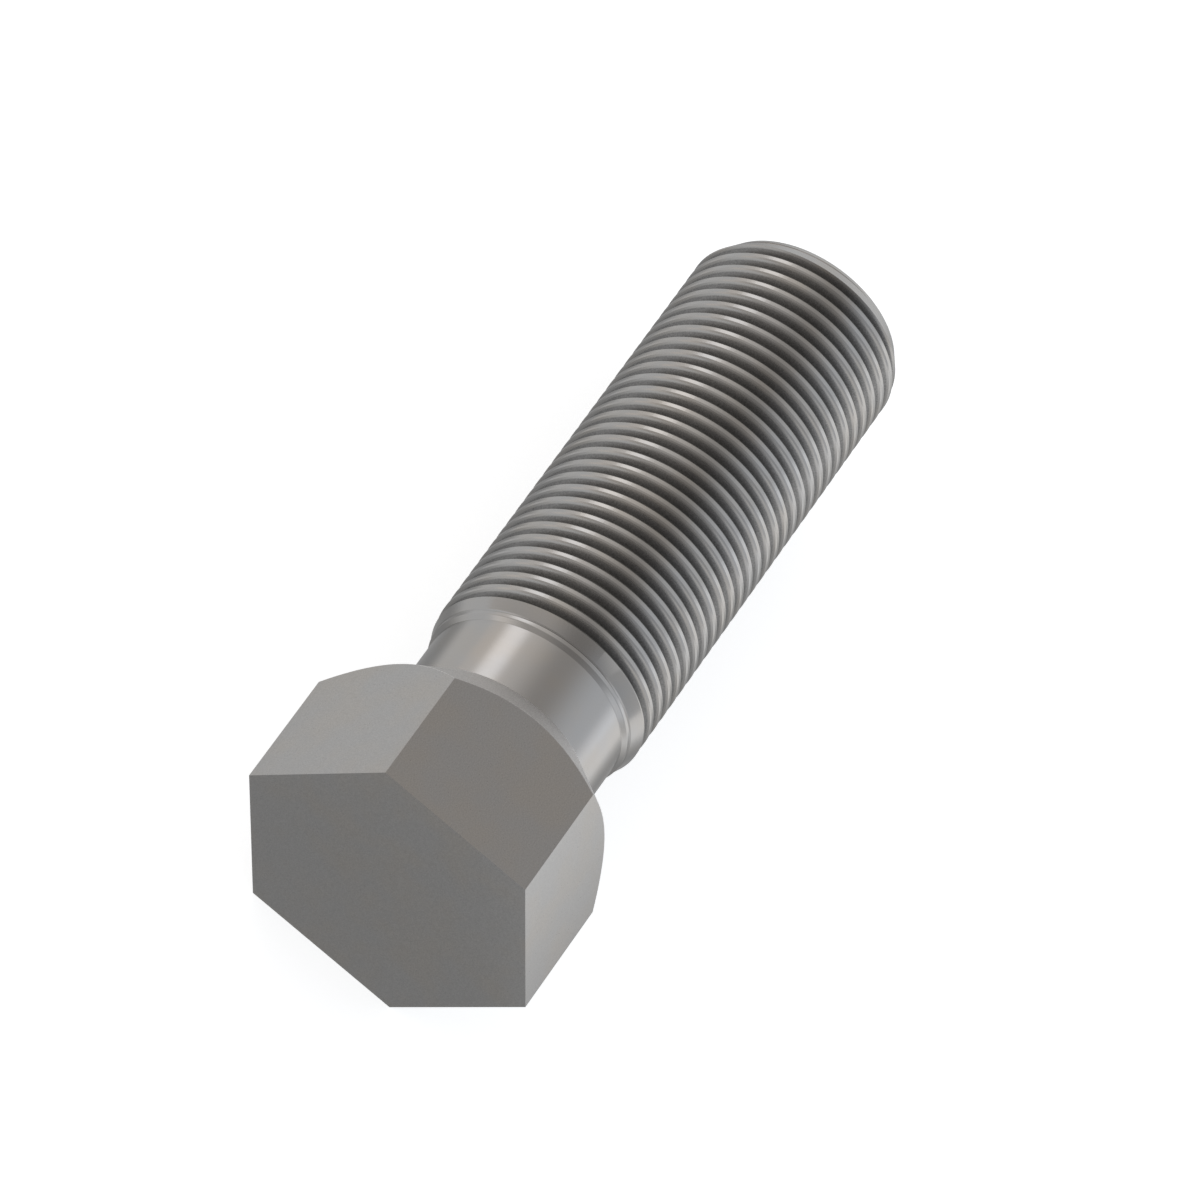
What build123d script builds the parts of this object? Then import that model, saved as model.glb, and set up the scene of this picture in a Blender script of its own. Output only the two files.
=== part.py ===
from build123d import *
from math import atan, ceil, cos, degrees, radians, sin, sqrt, tan
import os

# Hub bolt: hexagon head with a conical seat, plain neck, fine right-hand thread.
# Its axis is X, with the seat's small end at the origin, the head at -X and the tip at +X.
# It lies on a flat of the hexagon, with Z up. Millimetres and degrees.

# Head
head_across_flats = 24.0
head_corner_height = 10.85
seat_angle = 90.0

# Shank
shank_length = 52.2
neck_diameter = 17.1
neck_length = 5.75
flare_rise = 0.32
flare_angle = 45.0
land_length = 0.38
lead_in_length = 1.25
tip_diameter = 16.8
tip_chamfer_length = 1.75

# Thread
thread_diameter = 18.8
thread_pitch = 1.5
thread_angle = 60.0
crest_width = 0.38
thread_start_angle = -40.0
fade_in_angle = 120.0
cutter_clearance = 0.2

# Head, measured back from the seat's small end
head_corner_radius = head_across_flats / sqrt(3)
neck_radius = neck_diameter / 2
seat_length = (head_corner_radius - neck_radius) / tan(radians(seat_angle / 2))
head_face = -seat_length - head_corner_height

# Shank, measured forward from the seat's small end
flare_end = neck_length + flare_rise / tan(radians(flare_angle))
land_end = flare_end + land_length
thread_start = land_end + lead_in_length
land_radius = neck_radius + flare_rise
thread_radius = thread_diameter / 2

# Section of the thread's groove: outward from the crest's surface, then along the axis
flank_slope = tan(radians(thread_angle / 2))
mouth_half = (thread_pitch - crest_width) / 2
thread_depth = mouth_half / flank_slope
outer_half = mouth_half + cutter_clearance * flank_slope
groove_section = [(cutter_clearance, outer_half), (-thread_depth, 0), (cutter_clearance, -outer_half)]
outward = (0, cos(radians(thread_start_angle)), sin(radians(thread_start_angle)))

# The groove fades in on a cone that starts clear of the crest, behind the first full turn
fade_length = thread_pitch * fade_in_angle / 360
fade_cone_angle = degrees(atan((thread_depth + cutter_clearance) / fade_length))
fade = Helix(
    thread_pitch / cos(radians(fade_cone_angle)),
    fade_length,
    thread_radius,
    center=(thread_start, 0, 0),
    direction=(-1, 0, 0),
    cone_angle=fade_cone_angle,
)
groove_paths = [fade.rotate(Axis.X, thread_start_angle + 90)]

# It runs at full depth from there, one turn to a cut, until it leaves the tip
for turn in range(ceil((shank_length - thread_start) / thread_pitch)):
    full_turn = Helix(
        thread_pitch,
        thread_pitch,
        thread_radius,
        center=(thread_start + turn * thread_pitch, 0, 0),
        direction=(1, 0, 0),
    )
    groove_paths.append(full_turn.rotate(Axis.X, thread_start_angle - 90))

with BuildPart() as hub_bolt:
    # Turned outline, from the head's face to the tip
    with BuildSketch(Plane.XY):
        with BuildLine():
            Polyline(
                (head_face, 0),
                (head_face, head_corner_radius),
                (-seat_length, head_corner_radius),
                (0, neck_radius),
                (neck_length, neck_radius),
                (flare_end, land_radius),
                (land_end, land_radius),
                (thread_start, thread_radius),
                (shank_length - tip_chamfer_length, thread_radius),
                (shank_length, tip_diameter / 2),
                (shank_length, 0),
                close=True,
            )
        make_face()
    revolve(axis=Axis.X)

    # Hexagon, with a flat below and a flat above
    with BuildSketch(Plane.YZ.offset(head_face)):
        RegularPolygon(head_across_flats / 2, 6, major_radius=False)
    extrude(amount=shank_length - head_face, mode=Mode.INTERSECT)

    # Thread
    for path in groove_paths:
        with BuildSketch(Plane(origin=path @ 0, x_dir=outward, z_dir=path % 0)):
            with BuildLine():
                Polyline(*groove_section, close=True)
            make_face()
        sweep(path=path, is_frenet=True, mode=Mode.SUBTRACT)

hub_bolt.part.label = "hub_bolt"

os.makedirs("parts", exist_ok=True)
export_step(hub_bolt.part, "parts/hub_bolt.step")
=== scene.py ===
import math

import bmesh
import bpy
from mathutils import Matrix, Vector


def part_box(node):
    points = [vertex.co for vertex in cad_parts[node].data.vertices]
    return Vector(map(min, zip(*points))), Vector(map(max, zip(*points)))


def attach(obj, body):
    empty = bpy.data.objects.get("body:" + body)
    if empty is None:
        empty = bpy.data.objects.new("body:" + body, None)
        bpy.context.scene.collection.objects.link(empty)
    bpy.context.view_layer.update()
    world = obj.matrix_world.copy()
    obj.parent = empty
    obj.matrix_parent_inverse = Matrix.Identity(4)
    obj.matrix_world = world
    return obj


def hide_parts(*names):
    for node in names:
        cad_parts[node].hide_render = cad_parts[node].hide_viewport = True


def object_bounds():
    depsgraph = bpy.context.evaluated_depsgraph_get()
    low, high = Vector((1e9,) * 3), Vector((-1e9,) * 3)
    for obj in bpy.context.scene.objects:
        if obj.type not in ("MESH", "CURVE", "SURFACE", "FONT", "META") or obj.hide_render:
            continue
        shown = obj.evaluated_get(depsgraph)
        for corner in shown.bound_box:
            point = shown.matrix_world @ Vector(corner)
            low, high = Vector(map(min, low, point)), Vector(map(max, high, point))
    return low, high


bl_info = {
    "name": "Hub Bolt",
    "version": (1, 0, 0),
    "blender": (4, 5, 0),
    "location": "View3D > Sidebar > Hub Bolt",
    "description": "Hexagon-head hub bolt with a conical seat and a fine thread, and its studio",
    "category": "Object",
}

# The bolt's axis is X, with the seat's small end at the origin, the head at -X and the tip at +X.
# Lengths are in metres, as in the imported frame.
MM = 0.001
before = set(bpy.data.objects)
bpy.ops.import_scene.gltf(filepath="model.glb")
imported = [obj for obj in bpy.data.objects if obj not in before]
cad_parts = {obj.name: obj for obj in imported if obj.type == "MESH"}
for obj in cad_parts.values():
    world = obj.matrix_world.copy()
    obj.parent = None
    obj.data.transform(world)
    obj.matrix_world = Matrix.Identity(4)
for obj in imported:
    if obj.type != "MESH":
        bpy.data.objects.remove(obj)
CAD_BOX = [list(corner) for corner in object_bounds()]
NODE_LOW, NODE_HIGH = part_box("hub_bolt")

# The mesh: steps in a full turn and in the arc of a rounded corner, how near two vertices are to
# count as one, the angle from which an edge is sharp, and half the angle of a corner that is too
# flat to round
AROUND = 144
ROUNDING_STEPS = 4
SAME_PLACE = 1e-7
SHARP_ANGLE = math.radians(25)
HALF_FLAT = math.radians(89)

# The shank. The crease is (x, radius) steps from the end of the land.
FLARE_RISE = 0.32 * MM
LAND_LENGTH = 0.34 * MM
CREASE = ((0.06 * MM, -0.09 * MM), (0.16 * MM, 0.06 * MM))
TIP_CHAMFER = 1.75 * MM
TIP_RADIUS = 8.4 * MM

# The thread's groove. The flank's angle is from a plane across the axis, the bevel's from the
# axis. The clearance is how far the cut reaches past the crest, and the lift how far the groove
# rises while it fades. The seam joins the turns of the cut to each other.
THREAD_START = 7.7 * MM
THREAD_START_ANGLE = math.radians(-40)
FLANK_ANGLE = math.radians(30)
BEVEL_ANGLE = math.radians(32)
ROOT_RADIUS = 0.1 * MM
GROOVE_CLEARANCE = 0.1 * MM
GROOVE_SEAM = 2e-6
FADE_STEPS = AROUND // 3
FADE_LIFT = 1.3 * MM


class BoltSizes(bpy.types.PropertyGroup):
    """Sizes of the bolt"""

    across_flats: bpy.props.FloatProperty(
        name="Across flats",
        description="Width of the hexagon head across two of its flats",
        default=NODE_HIGH.z - NODE_LOW.z,
        unit="LENGTH",
    )
    corner_height: bpy.props.FloatProperty(
        name="Corner height",
        description="Height of the hexagon's corners, from the head's face to the seat",
        default=10.85 * MM,
        unit="LENGTH",
    )
    shank_length: bpy.props.FloatProperty(
        name="Shank length",
        description="From the seat's small end to the tip",
        default=NODE_HIGH.x,
        unit="LENGTH",
    )
    neck_radius: bpy.props.FloatProperty(
        name="Neck radius",
        description="Radius of the plain neck behind the seat",
        default=8.55 * MM,
        unit="LENGTH",
    )
    neck_length: bpy.props.FloatProperty(
        name="Neck length",
        description="From the seat's small end to the flare",
        default=5.75 * MM,
        unit="LENGTH",
    )
    thread_radius: bpy.props.FloatProperty(
        name="Thread radius",
        description="Radius of the thread over its crests",
        default=9.4 * MM,
        unit="LENGTH",
    )
    thread_pitch: bpy.props.FloatProperty(
        name="Thread pitch",
        description="Distance along the axis from one turn of the thread to the next",
        default=1.5 * MM,
        unit="LENGTH",
    )
    crest_width: bpy.props.FloatProperty(
        name="Crest width",
        description="Width of the flat on the thread's crests, between their bevels",
        default=0.34 * MM,
        unit="LENGTH",
    )
    crest_easing: bpy.props.FloatProperty(
        name="Crest easing",
        description="Width of the bevel beside the flat of a crest",
        default=0.13 * MM,
        unit="LENGTH",
    )


class SteelFinish(bpy.types.PropertyGroup):
    """Finish of the steel"""

    colour: bpy.props.FloatVectorProperty(
        name="Steel",
        description="Colour of the bare steel",
        default=(0.403, 0.4, 0.397),
        subtype="COLOR",
        size=3,
        min=0,
        max=1,
    )
    roughness: bpy.props.FloatProperty(
        name="Roughness",
        description="Mean roughness of the turned and rolled faces",
        default=0.19,
        min=0,
        max=1,
        subtype="FACTOR",
    )


class StudioLight(bpy.types.PropertyGroup):
    """Light and floor of the studio"""

    sky_level: bpy.props.FloatProperty(
        name="Sky level",
        description="Strength of the light from all round",
        default=1.0,
        min=0,
    )
    shadow: bpy.props.FloatProperty(
        name="Shadow",
        description="How strongly the bolt's shadow shows on the white floor",
        default=0.3,
        min=0,
        max=1,
        subtype="FACTOR",
    )


def mesh_object(name, bm):
    """An object at the origin that holds the finished bmesh."""
    bmesh.ops.recalc_face_normals(bm, faces=bm.faces[:])
    mesh = bpy.data.meshes.new(name)
    bm.to_mesh(mesh)
    bm.free()
    made = bpy.data.objects.new(name, mesh)
    bpy.context.scene.collection.objects.link(made)
    return made


def axis_turn(angle):
    """Turn about the bolt's axis. Angle 0 points to +Y, a quarter turn to +Z."""
    return Matrix.Rotation(angle, 4, "X")


def chain(bm, points, close=False):
    """Vertices joined by edges, from (x, radius) points in the plane of angle 0."""
    verts = [bm.verts.new((x, radius, 0)) for x, radius in points]
    edges = [bm.edges.new(pair) for pair in zip(verts, verts[1:])]
    if close:
        edges.append(bm.edges.new((verts[-1], verts[0])))
    return verts, edges


def rounded(points, radii):
    """The outline with an arc of the given radius at each corner between its two ends."""
    made = [points[0]]
    for before, corner, after, radius in zip(points, points[1:], points[2:], radii):
        corner = Vector(corner)
        back = (Vector(before) - corner).normalized()
        on = (Vector(after) - corner).normalized()
        half = back.angle(on) / 2
        if radius <= 0 or half > HALF_FLAT:
            made.append(tuple(corner))
            continue
        reach = radius / math.tan(half)
        centre = corner + (back + on).normalized() * (radius / math.sin(half))
        first = corner + back * reach - centre
        last = corner + on * reach - centre
        for step in range(ROUNDING_STEPS + 1):
            made.append(tuple(centre + first.slerp(last, step / ROUNDING_STEPS) * radius))
    made.append(points[-1])
    return made


def head_ends(sizes):
    """Where the head's face is, and where the seat leaves the hexagon's corners, along X."""
    seat_start = sizes.neck_radius - sizes.across_flats / math.sqrt(3)
    return seat_start - sizes.corner_height, seat_start


def bolt_outline(sizes):
    """Turned outline of the blank, from the centre of the head's face to the centre of the tip."""
    corner_radius = sizes.across_flats / math.sqrt(3)
    head_face, seat_start = head_ends(sizes)
    land_radius = sizes.neck_radius + FLARE_RISE
    flare_end = sizes.neck_length + FLARE_RISE
    land_end = flare_end + LAND_LENGTH
    crease_bottom, crease_end = [(land_end + x, land_radius + rise) for x, rise in CREASE]
    # Each corner as x, radius and rounding
    corners = [
        (head_face, 0, 0),
        (head_face, corner_radius, 0),
        (seat_start, corner_radius, 0),
        (0, sizes.neck_radius, 0.1 * MM),
        (sizes.neck_length, sizes.neck_radius, 0.06 * MM),
        (flare_end, land_radius, 0.12 * MM),
        (land_end, land_radius, 0),
        (*crease_bottom, 0.02 * MM),
        (*crease_end, 0.06 * MM),
        (THREAD_START, sizes.thread_radius, 0),
        (sizes.shank_length - TIP_CHAMFER, sizes.thread_radius, 0.05 * MM),
        (sizes.shank_length, TIP_RADIUS, 0.04 * MM),
        (sizes.shank_length, 0, 0),
    ]
    points = [(x, radius) for x, radius, _ in corners]
    return rounded(points, [rounding for _, _, rounding in corners[1:-1]])


def bolt_blank(sizes):
    """The bolt before its thread is rolled: turned round, with six flats on its head."""
    bm = bmesh.new()
    verts, edges = chain(bm, bolt_outline(sizes))
    bmesh.ops.rotate(bm, verts=verts, matrix=axis_turn(THREAD_START_ANGLE))
    bmesh.ops.spin(
        bm,
        geom=verts + edges,
        cent=(0, 0, 0),
        axis=(1, 0, 0),
        dvec=(0, 0, 0),
        angle=math.tau,
        steps=AROUND,
        use_merge=True,
    )
    bmesh.ops.remove_doubles(bm, verts=bm.verts[:], dist=SAME_PLACE)
    for side in range(6):
        outward = Vector((0, 0, 1))
        outward.rotate(axis_turn(math.radians(60 * side)))
        made = bmesh.ops.bisect_plane(
            bm,
            geom=bm.verts[:] + bm.edges[:] + bm.faces[:],
            dist=SAME_PLACE,
            plane_co=outward * sizes.across_flats / 2,
            plane_no=outward,
            clear_outer=True,
        )
        rim = [part for part in made["geom_cut"] if isinstance(part, bmesh.types.BMEdge)]
        bmesh.ops.edgeloop_fill(bm, edges=rim)
    return mesh_object("hub_bolt_steel", bm)


def groove_section(sizes):
    """Section of the thread's groove as (x, radius) points, with a round root and bevelled crests."""
    mouth = (sizes.thread_pitch - sizes.crest_width) / 2
    slope = math.tan(FLANK_ANGLE)
    bevel = math.tan(BEVEL_ANGLE)
    crest = sizes.thread_radius
    side = [
        (mouth + GROOVE_CLEARANCE, crest + GROOVE_CLEARANCE * bevel),
        (mouth - sizes.crest_easing, crest - sizes.crest_easing * bevel),
    ]
    left = [(-x, radius) for x, radius in side]
    root = (0, side[-1][1] - side[-1][0] / slope)
    bottom = rounded([left[-1], root, side[-1]], [ROOT_RADIUS])
    return left[:-1] + bottom + side[:-1][::-1]


def groove_tool(sizes):
    """The thread's groove as a solid: a fade-in at the neck, then full turns out past the tip."""
    bm = bmesh.new()
    step = sizes.thread_pitch / AROUND
    verts, edges = chain(bm, groove_section(sizes), close=True)
    place = axis_turn(THREAD_START_ANGLE)
    place.translation.x = THREAD_START
    bmesh.ops.transform(bm, verts=verts, matrix=place)
    # One turn, then a copy of it for each further turn
    bmesh.ops.spin(
        bm,
        geom=edges,
        cent=(THREAD_START, 0, 0),
        axis=(1, 0, 0),
        dvec=(step, 0, 0),
        angle=math.tau,
        steps=AROUND,
    )
    first_turn = bm.verts[:] + bm.edges[:] + bm.faces[:]
    turns = math.ceil((sizes.shank_length - THREAD_START) / sizes.thread_pitch) + 1
    for turn in range(1, turns):
        copy = bmesh.ops.duplicate(bm, geom=first_turn)["geom"]
        moved = [part for part in copy if isinstance(part, bmesh.types.BMVert)]
        bmesh.ops.translate(bm, verts=moved, vec=(turn * sizes.thread_pitch, 0, 0))
    # Behind the first turn the groove is carried back and outwards until it has left the metal
    lift = FADE_LIFT / FADE_STEPS
    back = Matrix.Rotation(-math.tau / AROUND, 4, "X")
    for _ in range(FADE_STEPS):
        made = bmesh.ops.extrude_edge_only(bm, edges=edges)["geom"]
        edges = [part for part in made if isinstance(part, bmesh.types.BMEdge)]
        verts = [part for part in made if isinstance(part, bmesh.types.BMVert)]
        edges = [edge for edge in edges if all(vert in verts for vert in edge.verts)]
        bmesh.ops.rotate(bm, verts=verts, cent=(THREAD_START, 0, 0), matrix=back)
        bmesh.ops.translate(bm, verts=verts, vec=(-step, 0, 0))
        middle = sum((vert.co for vert in verts), Vector()) / len(verts)
        outward = Vector((0, middle.y, middle.z)).normalized()
        bmesh.ops.translate(bm, verts=verts, vec=outward * lift)
    bmesh.ops.remove_doubles(bm, verts=bm.verts[:], dist=GROOVE_SEAM)
    bmesh.ops.holes_fill(bm, edges=[edge for edge in bm.edges if edge.is_boundary])
    return mesh_object("groove_tool", bm)


def cut_away(body, tool):
    """Takes the tool's solid out of the body, then removes the tool."""
    modifier = body.modifiers.new("cut", "BOOLEAN")
    modifier.operation = "DIFFERENCE"
    modifier.solver = "MANIFOLD"
    modifier.object = tool
    bpy.context.view_layer.update()
    graph = bpy.context.evaluated_depsgraph_get()
    mesh = bpy.data.meshes.new_from_object(body.evaluated_get(graph))
    body.modifiers.clear()
    old = body.data
    body.data = mesh
    bpy.data.meshes.remove(old)
    spare = tool.data
    bpy.data.objects.remove(tool)
    bpy.data.meshes.remove(spare)


class Socket:
    """A shader socket that can be added, subtracted and multiplied: each adds a Math node."""

    def __init__(self, tree, socket):
        self.tree = tree
        self.socket = socket

    def math(self, operation, *values):
        """A Math node on this socket and up to two more values."""
        node = self.tree.nodes.new("ShaderNodeMath")
        node.operation = operation
        for slot, value in zip(node.inputs, (self, *values)):
            plug(self.tree, value, slot)
        return Socket(self.tree, node.outputs[0])

    def __add__(self, other):
        return self.math("ADD", other)

    __radd__ = __add__

    def __mul__(self, other):
        return self.math("MULTIPLY", other)

    def __sub__(self, other):
        return self.math("SUBTRACT", other)

    def __rsub__(self, other):
        return (self * -1) + other

    def between(self, low, high):
        """0 below low, 1 above high, and a smooth change between."""
        return Shader(self.tree).add(
            "ShaderNodeMapRange",
            {"interpolation_type": "SMOOTHSTEP"},
            {"Value": self, "From Min": low, "From Max": high},
        )


def plug(tree, value, slot):
    """Links a socket, or sets a plain value."""
    if isinstance(value, Socket):
        tree.links.new(value.socket, slot)
    else:
        slot.default_value = value


# Sockets of the Mix node when it mixes colours. Their names are not unique.
MIX_FACTOR = 0
MIX_FIRST = 6
MIX_SECOND = 7
MIX_RESULT = 2


class Shader:
    """Adds nodes to one node tree."""

    def __init__(self, tree):
        self.tree = tree

    def add(self, kind, settings=None, values=None, output=0):
        """A node with its settings, then its inputs, as the Socket of one output."""
        node = self.tree.nodes.new(kind)
        for name, value in (settings or {}).items():
            setattr(node, name, value)
        for name, value in (values or {}).items():
            plug(self.tree, value, node.inputs[name])
        return Socket(self.tree, node.outputs[output])

    def noise(self, place, scale, detail):
        """Noise from 0 to 1 on a place."""
        values = {"Vector": place, "Scale": scale, "Detail": detail}
        values["Roughness"] = NOISE_ROUGHNESS
        return self.add("ShaderNodeTexNoise", {}, values)

    def mix(self, factor, first, second):
        """The first colour where the factor is 0, the second where it is 1."""
        colours = [each if isinstance(each, Socket) else (*each, 1) for each in (first, second)]
        values = {MIX_FACTOR: factor, MIX_FIRST: colours[0], MIX_SECOND: colours[1]}
        return self.add("ShaderNodeMix", {"data_type": "RGBA"}, values, MIX_RESULT)


def weigh(zones, weights):
    """The sum of the zones, each times its weight."""
    return sum(zones[name] * weight for name, weight in weights.items())


# Textures of the steel
NOISE_ROUGHNESS = 0.6
GRAIN_SCALE = 9000
STAIN_SCALE = 220
RING_SCALE = 5200
STAIN_EDGE = (0.35, 0.7)

# Zones of the steel: where each fades from one value to the next
HEAD_EDGE = (-0.05 * MM, 0.05 * MM)
SEAT_EDGE = (0.02 * MM, 0.06 * MM)
GROOVE_DEPTH = (0.16 * MM, 0.31 * MM)
GROOVE_START = (THREAD_START - 0.5 * MM, THREAD_START - 0.1 * MM)
TIP_FACE = (-0.1 * MM, -0.05 * MM)

# Colour, with painted light on the seat and painted shade in the grooves, then roughness and relief
WARM_STAIN = (1.03, 1.0, 0.96)
SEAT_PAINTED_LIGHT = 1.45
GROOVE_PAINTED_SHADE = 0.6
SPECKS = {"head": 0.6, "seat": 0.6, "groove": 1.4}
ADDED_ROUGHNESS = {"head": 0.11, "seat": 0.2, "groove": 0.12}
RING_ROUGHNESS = 0.06
GRAIN_ROUGHNESS = 0.1
SHANK_GRAIN = 0.2
SHANK_RINGS = 0.25
BUMP_STRENGTH = 0.3
BUMP_DISTANCE = 0.01 * MM


def steel_zones(x, radius, sizes):
    """Where the head, the seat and the thread's grooves are, each from 0 to 1. The seat's zone also
    places its painted light, and the grooves' zone their painted shade.
    """
    head = 1 - x.between(*HEAD_EDGE)
    off_cone = (radius + x - sizes.neck_radius).math("ABSOLUTE")
    seat = head * (1 - off_cone.between(*SEAT_EDGE))
    slope = (TIP_RADIUS - sizes.thread_radius) / TIP_CHAMFER
    past_thread = (x - (sizes.shank_length - TIP_CHAMFER)).math("MAXIMUM", 0.0)
    depth = past_thread * slope + sizes.thread_radius - radius
    tip_face = x.between(*[sizes.shank_length + edge for edge in TIP_FACE])
    groove = x.between(*GROOVE_START) * depth.between(*GROOVE_DEPTH) * (1 - tip_face)
    return {"head": head, "seat": seat, "groove": groove}


def steel_material(finish, sizes):
    """Plain steel: polished on the round faces, grained on the hexagon, with painted shade in the
    grooves and painted light on the seat.
    """
    material = bpy.data.materials.new("plain_steel")
    material.use_nodes = True
    tree = material.node_tree
    shader = Shader(tree)
    surface = tree.nodes["Principled BSDF"]
    surface.inputs["Metallic"].default_value = 1.0
    place = shader.add("ShaderNodeTexCoord", output="Object")
    parts = shader.add("ShaderNodeSeparateXYZ", {}, {"Vector": place}).socket.node
    x, y, z = [Socket(tree, output) for output in parts.outputs]
    radius = (y * y + z * z).math("SQRT")
    zones = steel_zones(x, radius, sizes)
    grain = shader.noise(place, GRAIN_SCALE, 3)
    stain = shader.noise(place, STAIN_SCALE, 2)
    around = shader.add("ShaderNodeCombineXYZ", {}, {"X": x, "Y": radius})
    rings = shader.noise(around, RING_SCALE, 2)

    # Painted light: the seat's colour is raised so that it renders lighter
    light = tuple(min(1, part * SEAT_PAINTED_LIGHT) for part in finish.colour)
    # Painted shade: the grooves' colour is lowered so that they render darker
    dark = tuple(part * GROOVE_PAINTED_SHADE for part in finish.colour)
    warm = tuple(part * factor for part, factor in zip(finish.colour, WARM_STAIN))
    colour = shader.mix(stain.between(*STAIN_EDGE), finish.colour, warm)
    colour = shader.mix(zones["seat"], colour, light)
    colour = shader.mix(zones["groove"], colour, dark)
    specks = (grain - 0.5) * weigh(zones, SPECKS)
    speckled = {"Vector": colour, "Scale": 1 + specks}
    colour = shader.add("ShaderNodeVectorMath", {"operation": "SCALE"}, speckled)
    plug(tree, colour, surface.inputs["Base Color"])

    rough = finish.roughness + (rings - 0.5) * RING_ROUGHNESS + (grain - 0.5) * GRAIN_ROUGHNESS
    plug(tree, rough + weigh(zones, ADDED_ROUGHNESS), surface.inputs["Roughness"])

    height = grain * (zones["head"] * (1 - SHANK_GRAIN) + SHANK_GRAIN)
    height = height + rings * (1 - zones["head"]) * SHANK_RINGS
    relief = {"Height": height, "Strength": BUMP_STRENGTH, "Distance": BUMP_DISTANCE}
    plug(tree, shader.add("ShaderNodeBump", {}, relief), surface.inputs["Normal"])
    return material


class HUBBOLT_OT_bolt(bpy.types.Operator):
    """Turn the blank, upset its hexagon and cut its thread"""

    bl_idname = "hub_bolt.add_bolt"
    bl_label = "Bolt"
    bl_options = {"REGISTER", "UNDO"}

    def execute(self, context):
        sizes = context.scene.bolt_sizes
        bolt = bolt_blank(sizes)
        cut_away(bolt, groove_tool(sizes))
        bolt.data.materials.clear()
        bolt.data.materials.append(steel_material(context.scene.steel_finish, sizes))
        bolt.data.polygons.foreach_set("use_smooth", [True] * len(bolt.data.polygons))
        bolt.data.set_sharp_from_angle(angle=SHARP_ANGLE)
        shade = bolt.modifiers.new("faces", "WEIGHTED_NORMAL")
        shade.keep_sharp = True
        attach(bolt, "root")
        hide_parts("hub_bolt")
        return {"FINISHED"}


CAMERA_PLACE = (-451.96852617 * MM, 79.33253276 * MM, 638.30935106 * MM)
CAMERA_TURN = (26.5942987, -26.35236303, -58.02616953)
CAMERA_LENS = 304.8127
CAMERA_CLIP = 10 * MM
FLOOR_REACH = 4.0

# Lights of the sky: a direction, then how many degrees off it each is full and has ended
SKY_LIGHTS = {
    "window": ((0.59, 0.693, 0.415), 1, 13.5),
    "softbox": ((0.59, -0.795, -0.14), 5, 26),
    "end_minus_y": ((-0.55, -0.81, 0.0), 8, 34),
    "end_plus_y": ((-0.55, 0.81, -0.1), 8, 34),
}
LIGHT_LEVELS = {"window": 0.75, "softbox": 0.55, "end_minus_y": 0.5, "end_plus_y": 0.5}

# The sky between them: overhead, what each side adds, and the share that is left at the head's end
OVERHEAD = 0.45
PLUS_Y_SIDE = 0.42
MINUS_Y_SIDE = 0.35
HEAD_END_SHARE = 0.66
PLUS_Y_TINT = (1.05, 1.0, 0.955)
MINUS_Y_TINT = (0.975, 1.0, 1.04)
WINDOW_TINT = (1.01, 0.99, 0.985)
WHITE = (1, 1, 1)
BLACK = (0, 0, 0)

# The floor as the steel mirrors it, with a painted shadow and painted light: dark in an oval round
# the bolt, with a bright strip at -Y
OVAL_CENTRE = 18 * MM
OVAL_SQUEEZE = 0.38
OVAL_EDGE = (19 * MM, 39 * MM)
STRIP_Y = (32 * MM, 50 * MM)
STRIP_X = (-30 * MM, 0.0)
PAINTED_SHADOW_LEVEL = 0.39
OPEN_ADDS = 0.41
PAINTED_LIGHT_ADDS = 0.4
SHADOW_COLOUR = (2.5, 2.6, 2.7)


def glow(direction, towards, inner, outer):
    """1 within inner degrees of a direction of the sky, fading to 0 at outer degrees."""
    towards = Vector(towards).normalized()
    x, y, z = direction
    near = x * towards.x + y * towards.y + z * towards.z
    return near.between(math.cos(math.radians(outer)), math.cos(math.radians(inner)))


def studio_world(studio):
    """Soft light from all round, darker overhead, with four lights. The camera sees plain white."""
    world = bpy.data.worlds.new("studio")
    world.use_nodes = True
    tree = world.node_tree
    shader = Shader(tree)
    place = shader.add("ShaderNodeTexCoord")
    parts = shader.add("ShaderNodeSeparateXYZ", {}, {"Vector": place}).socket.node
    direction = [Socket(tree, output) for output in parts.outputs]
    x, y, _ = direction
    level = y.between(0.0, 0.6) * PLUS_Y_SIDE + (y * -1).between(0.1, 0.7) * MINUS_Y_SIDE + OVERHEAD
    level = level * (x.between(-0.3, 0.45) * (1 - HEAD_END_SHARE) + HEAD_END_SHARE)
    glows = {name: glow(direction, *light) for name, light in SKY_LIGHTS.items()}
    level = (level + weigh(glows, LIGHT_LEVELS)) * studio.sky_level
    path = shader.add("ShaderNodeLightPath").socket.node
    seen = Socket(tree, path.outputs["Is Camera Ray"])
    tint = shader.mix((y * -1).between(0.0, 0.6), PLUS_Y_TINT, MINUS_Y_TINT)
    tint = shader.mix(glows["window"], tint, WINDOW_TINT)
    tint = shader.mix(seen, tint, WHITE)
    background = tree.nodes["Background"]
    plug(tree, tint, background.inputs["Color"])
    plug(tree, level * (1 - seen) + seen, background.inputs["Strength"])
    return world


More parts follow.
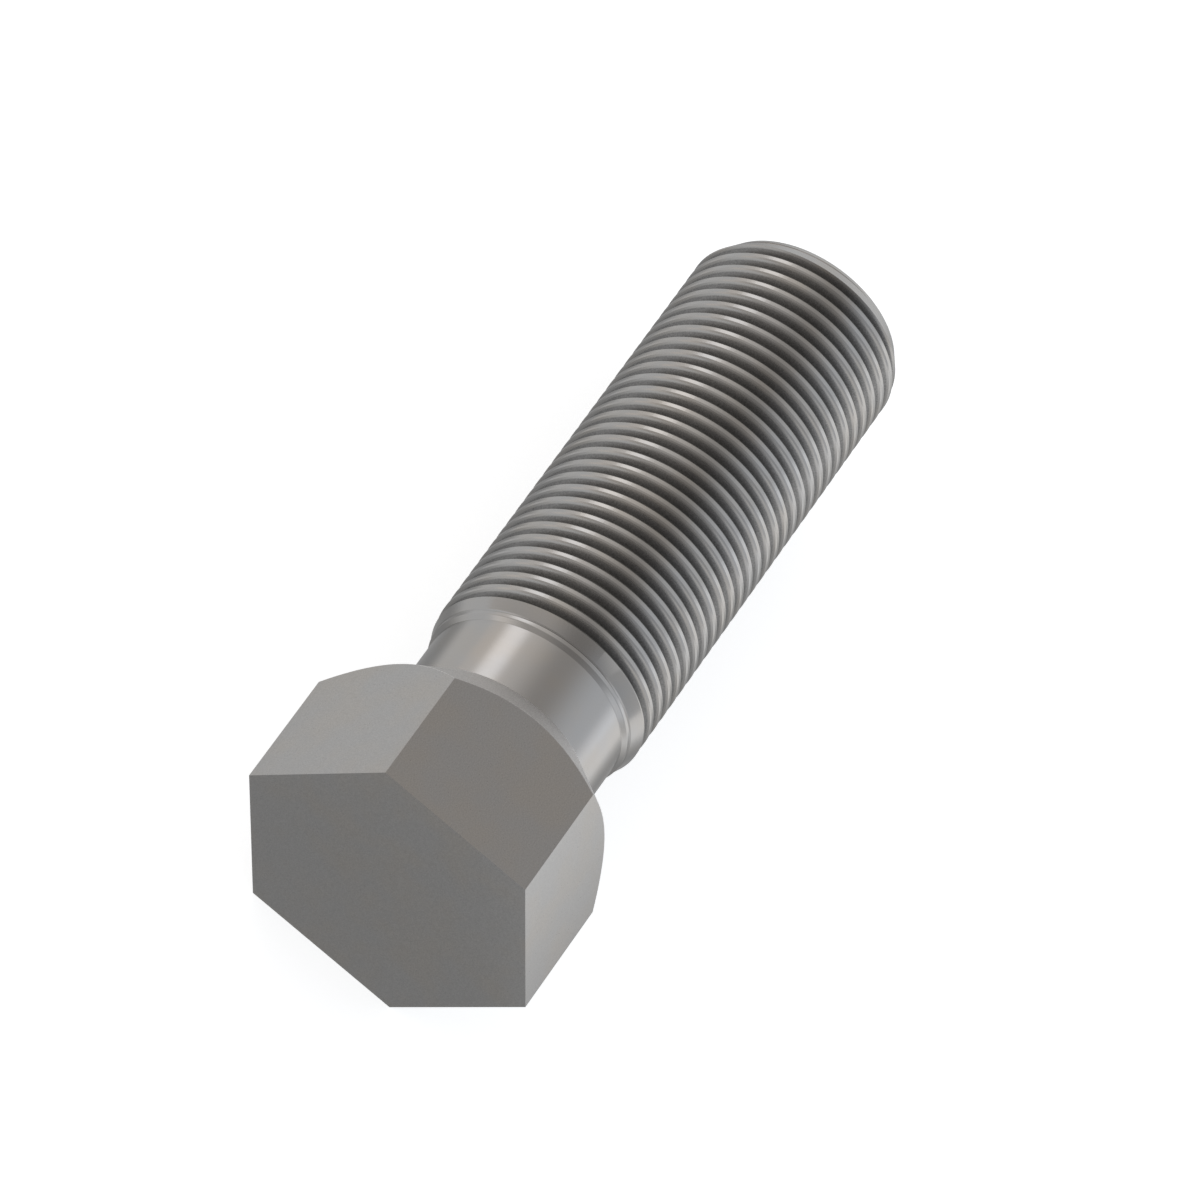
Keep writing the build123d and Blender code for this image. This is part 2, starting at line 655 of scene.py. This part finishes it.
def floor_material(studio):
    """Floor that the camera sees as white with a faint shadow, and the steel mirrors with a painted
    shadow round the bolt and a painted bright strip.
    """
    material = bpy.data.materials.new("floor")
    material.use_nodes = True
    tree = material.node_tree
    tree.nodes.remove(tree.nodes["Principled BSDF"])
    shader = Shader(tree)
    path = shader.add("ShaderNodeLightPath").socket.node
    seen = Socket(tree, path.outputs["Is Camera Ray"])
    place = shader.add("ShaderNodeTexCoord", output="Object")
    parts = shader.add("ShaderNodeSeparateXYZ", {}, {"Vector": place}).socket.node
    x, y, _ = [Socket(tree, output) for output in parts.outputs]
    # Painted shadow and painted light: rays other than the camera's see an emission that is low in an
    # oval round the bolt and higher in a strip at -Y
    along = (x - OVAL_CENTRE) * OVAL_SQUEEZE
    outside_painted_shadow = (along * along + y * y).math("SQRT").between(*OVAL_EDGE)
    painted_light_strip = (y * -1).between(*STRIP_Y) * x.between(*STRIP_X)
    mirrored = (outside_painted_shadow * OPEN_ADDS + painted_light_strip * PAINTED_LIGHT_ADDS + PAINTED_SHADOW_LEVEL) * studio.sky_level
    strength = seen * (1 - studio.shadow) + (1 - seen) * mirrored
    lit = shader.add("ShaderNodeEmission", {}, {"Strength": strength})
    shadow = [min(1, studio.shadow * part) for part in SHADOW_COLOUR]
    shade = shader.mix(seen, BLACK, shadow)
    faint = shader.add("ShaderNodeBsdfDiffuse", {}, {"Color": shade})
    both = shader.add("ShaderNodeAddShader").socket.node
    tree.links.new(lit.socket, both.inputs[0])
    tree.links.new(faint.socket, both.inputs[1])
    tree.links.new(both.outputs[0], tree.nodes["Material Output"].inputs["Surface"])
    return material


class HUBBOLT_OT_studio(bpy.types.Operator):
    """Set up the floor, the light and the camera"""

    bl_idname = "hub_bolt.add_studio"
    bl_label = "Studio"
    bl_options = {"REGISTER", "UNDO"}

    def execute(self, context):
        scene = context.scene
        studio = scene.studio_light
        bm = bmesh.new()
        bmesh.ops.create_grid(
            bm,
            x_segments=1,
            y_segments=1,
            size=FLOOR_REACH,
            matrix=Matrix.Translation((0, 0, CAD_BOX[0][2])),
        )
        floor = mesh_object("floor", bm)
        floor.data.materials.append(floor_material(studio))
        scene.world = studio_world(studio)

        camera_data = bpy.data.cameras.new("camera")
        camera_data.lens = CAMERA_LENS
        camera_data.sensor_width = 36
        camera_data.clip_start = CAMERA_CLIP
        camera = bpy.data.objects.new("camera", camera_data)
        camera.location = CAMERA_PLACE
        camera.rotation_euler = [math.radians(angle) for angle in CAMERA_TURN]
        scene.collection.objects.link(camera)
        scene.camera = camera
        scene.view_settings.view_transform = "Standard"
        return {"FINISHED"}


class HUBBOLT_PT_panel(bpy.types.Panel):
    """The bolt's sizes and finish, and its steps in order"""

    bl_idname = "HUBBOLT_PT_panel"
    bl_label = "Hub Bolt"
    bl_space_type = "VIEW_3D"
    bl_region_type = "UI"
    bl_category = "Hub Bolt"

    def draw(self, context):
        layout = self.layout
        for group in ("bolt_sizes", "steel_finish", "studio_light"):
            settings = getattr(context.scene, group)
            box = layout.box()
            for name in settings.__annotations__:
                box.prop(settings, name)
        for step in STEPS:
            layout.operator(step.bl_idname)


STEPS = (HUBBOLT_OT_bolt, HUBBOLT_OT_studio)
CLASSES = (BoltSizes, SteelFinish, StudioLight, *STEPS, HUBBOLT_PT_panel)


def register():
    for each in CLASSES:
        bpy.utils.register_class(each)
    bpy.types.Scene.bolt_sizes = bpy.props.PointerProperty(type=BoltSizes)
    bpy.types.Scene.steel_finish = bpy.props.PointerProperty(type=SteelFinish)
    bpy.types.Scene.studio_light = bpy.props.PointerProperty(type=StudioLight)


def unregister():
    del bpy.types.Scene.studio_light
    del bpy.types.Scene.steel_finish
    del bpy.types.Scene.bolt_sizes
    for each in reversed(CLASSES):
        bpy.utils.unregister_class(each)


def main():
    register()
    bpy.ops.hub_bolt.add_bolt()
    bpy.ops.hub_bolt.add_studio()


if __name__ == "__main__":
    main()
